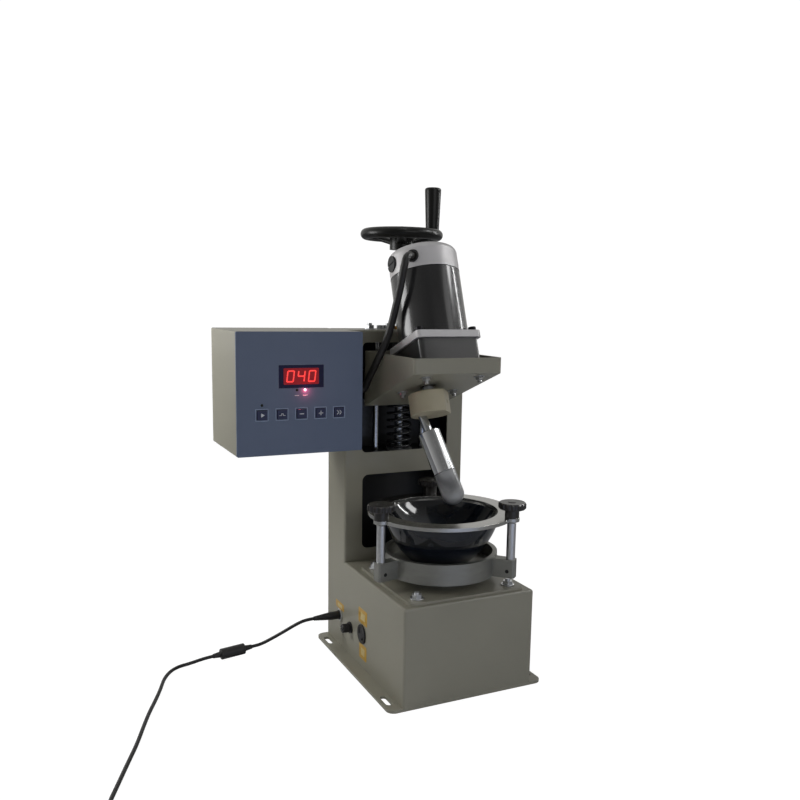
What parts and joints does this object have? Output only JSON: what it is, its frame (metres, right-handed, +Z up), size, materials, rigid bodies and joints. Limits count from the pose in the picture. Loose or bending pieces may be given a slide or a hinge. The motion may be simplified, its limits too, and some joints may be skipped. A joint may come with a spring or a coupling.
{
  "type": "laboratory pestle mill",
  "caption": "Bench pestle mill: a turntable carries a clamped stone mortar under a pestle that a tilted geared motor swings round, on a handwheel lift with a control box.",
  "frame": {"origin": "centre of the base plate's underside, on the bench", "axes": "+Z up, -Y towards the user (the mortar's side), +X to the user's right"},
  "size_m": [0.6344, 0.3844, 0.569],
  "materials": {
    "enamel": "smooth warm grey enamel",
    "blue_panel": "slate blue panel film",
    "dark_window": "dark red display window",
    "board": "circuit board",
    "key": "navy keys",
    "steel": "turned and ground steel",
    "bolt": "zinc plated fasteners",
    "spring_steel": "blackened spring steel",
    "brass": "turned brass",
    "bronze": "bearing bronze",
    "satin": "satin aluminium",
    "cast_light": "light grey cast cap",
    "gearbox": "dark gear housing",
    "black_enamel": "black gloss enamel",
    "black_plastic": "black gloss plastic",
    "black_matt": "black matt plastic",
    "cream": "cream enamel",
    "chrome": "bright chrome",
    "agate_dark": "polished dark stone",
    "agate_grey": "ground grey stone",
    "rubber": "black flexible lead"
  },
  "bodies": {
    "frame": {"base_plate": "enamel", "housing": "enamel", "rear_cover": "enamel", "lift_plates": "steel", "guide_rods": "steel", "top_fasteners": "bolt", "screw_bearing": "bronze", "spring_washer": "steel", "pressure_spring": "spring_steel", "control_box": "enamel", "control_panel": "blue_panel", "display_window": "dark_window", "circuit_board": "board", "dc_jack": "black_plastic", "fuse_holder": "black_plastic", "rocker_bezel": "black_plastic", "mortar_plate": "enamel", "mortar_plate_nuts": "bolt", "spindle_bearing": "steel", "mortar_motor": "black_enamel", "motor_cable": "rubber", "power_plug": "black_matt", "power_cord": "rubber", "ferrite_choke": "black_matt", "cord_tail": "rubber", "cord_coil": "rubber", "power_adapter": "black_matt"},
    "carriage": {"slide_block": "satin", "screw_nut": "brass", "motor_tray": "enamel", "gearbox": "gearbox", "gearbox_flange": "cast_light", "gearbox_bolts": "bolt", "motor_body": "black_enamel", "motor_end_cap": "cast_light", "brush_caps": "black_plastic"},
    "pestle_head": {"output_shaft": "steel", "eccentric_head": "cream", "pestle_rod": "steel", "pestle_sleeve": "chrome", "pestle": "agate_grey"},
    "wheel": {"lead_screw": "steel", "handwheel": "black_plastic", "grip_spindle": "bolt"},
    "grip": {"handle_grip": "black_plastic"},
    "mortar": {"mortar_shaft": "steel", "mortar_holder": "satin", "clamp_posts": "steel", "clamp_ring": "satin", "mortar_bowl": "agate_dark"},
    "knob_left": {"clamp_knob_left": "black_plastic"},
    "knob_right": {"clamp_knob_right": "black_plastic"},
    "knob_rear": {"clamp_knob_rear": "black_plastic"},
    "fuse_cap_body": {"fuse_cap": "black_plastic"},
    "rocker_body": {"rocker": "black_plastic"},
    "key_1": {"button_1": "key"},
    "key_2": {"button_2": "key"},
    "key_3": {"button_3": "key"},
    "key_4": {"button_4": "key"},
    "key_5": {"button_5": "key"}
  },
  "joints": [
    {"name": "carriage_slide", "type": "slide", "parent": "frame", "child": "carriage", "axis": [0, 0, 1], "range_m": [-0.036, 0.008], "deforming": ["pressure_spring", "motor_cable"]},
    {"name": "handwheel_turn", "type": "hinge", "parent": "frame", "child": "wheel", "pos_m": [0, 0.079, 0.51], "axis": [0, 0, 1], "range_deg": [-1445, 6485]},
    {"name": "grip_spin", "type": "hinge", "parent": "wheel", "child": "grip", "pos_m": [0.04333, 0.08279, 0.54], "axis": [0, 0, 1], "continuous": true},
    {"name": "head_spin", "type": "hinge", "parent": "carriage", "child": "pestle_head", "pos_m": [-0.012, -0.02328, 0.33548], "axis": [0, 0.342, 0.9397], "continuous": true},
    {"name": "mortar_spin", "type": "hinge", "parent": "frame", "child": "mortar", "pos_m": [0, -0.04, 0.116], "axis": [0, 0, 1], "continuous": true},
    {"name": "knob_right_turn", "type": "hinge", "parent": "mortar", "child": "knob_right", "pos_m": [0.05621, -0.10242, 0.2], "axis": [0, 0, 1], "range_deg": [0, 1080]},
    {"name": "knob_rear_turn", "type": "hinge", "parent": "mortar", "child": "knob_rear", "pos_m": [0.02596, 0.03989, 0.2], "axis": [0, 0, 1], "range_deg": [0, 1080]},
    {"name": "knob_left_turn", "type": "hinge", "parent": "mortar", "child": "knob_left", "pos_m": [-0.08216, -0.05746, 0.2], "axis": [0, 0, 1], "range_deg": [0, 1080]},
    {"name": "fuse_cap_turn", "type": "hinge", "parent": "frame", "child": "fuse_cap_body", "pos_m": [-0.082, 0.037, 0.038], "axis": [-1, 0, 0], "range_deg": [0, 60]},
    {"name": "rocker_tilt", "type": "hinge", "parent": "frame", "child": "rocker_body", "pos_m": [-0.078, 0, 0.0435], "axis": [0, 1, 0], "range_deg": [-20, 0]},
    {"name": "button_1_press", "type": "slide", "parent": "frame", "child": "key_1", "axis": [0, 1, 0], "range_m": [0, 0.0012], "stiffness_N_per_m": 400, "springref_m": -0.0005},
    {"name": "button_2_press", "type": "slide", "parent": "frame", "child": "key_2", "axis": [0, 1, 0], "range_m": [0, 0.0012], "stiffness_N_per_m": 400, "springref_m": -0.0005},
    {"name": "button_3_press", "type": "slide", "parent": "frame", "child": "key_3", "axis": [0, 1, 0], "range_m": [0, 0.0012], "stiffness_N_per_m": 400, "springref_m": -0.0005},
    {"name": "button_4_press", "type": "slide", "parent": "frame", "child": "key_4", "axis": [0, 1, 0], "range_m": [0, 0.0012], "stiffness_N_per_m": 400, "springref_m": -0.0005},
    {"name": "button_5_press", "type": "slide", "parent": "frame", "child": "key_5", "axis": [0, 1, 0], "range_m": [0, 0.0012], "stiffness_N_per_m": 400, "springref_m": -0.0005}
  ],
  "couplings": [
    {"joint": "handwheel_turn", "follows": "carriage_slide", "rad_per_m": -3141.6}
  ]
}
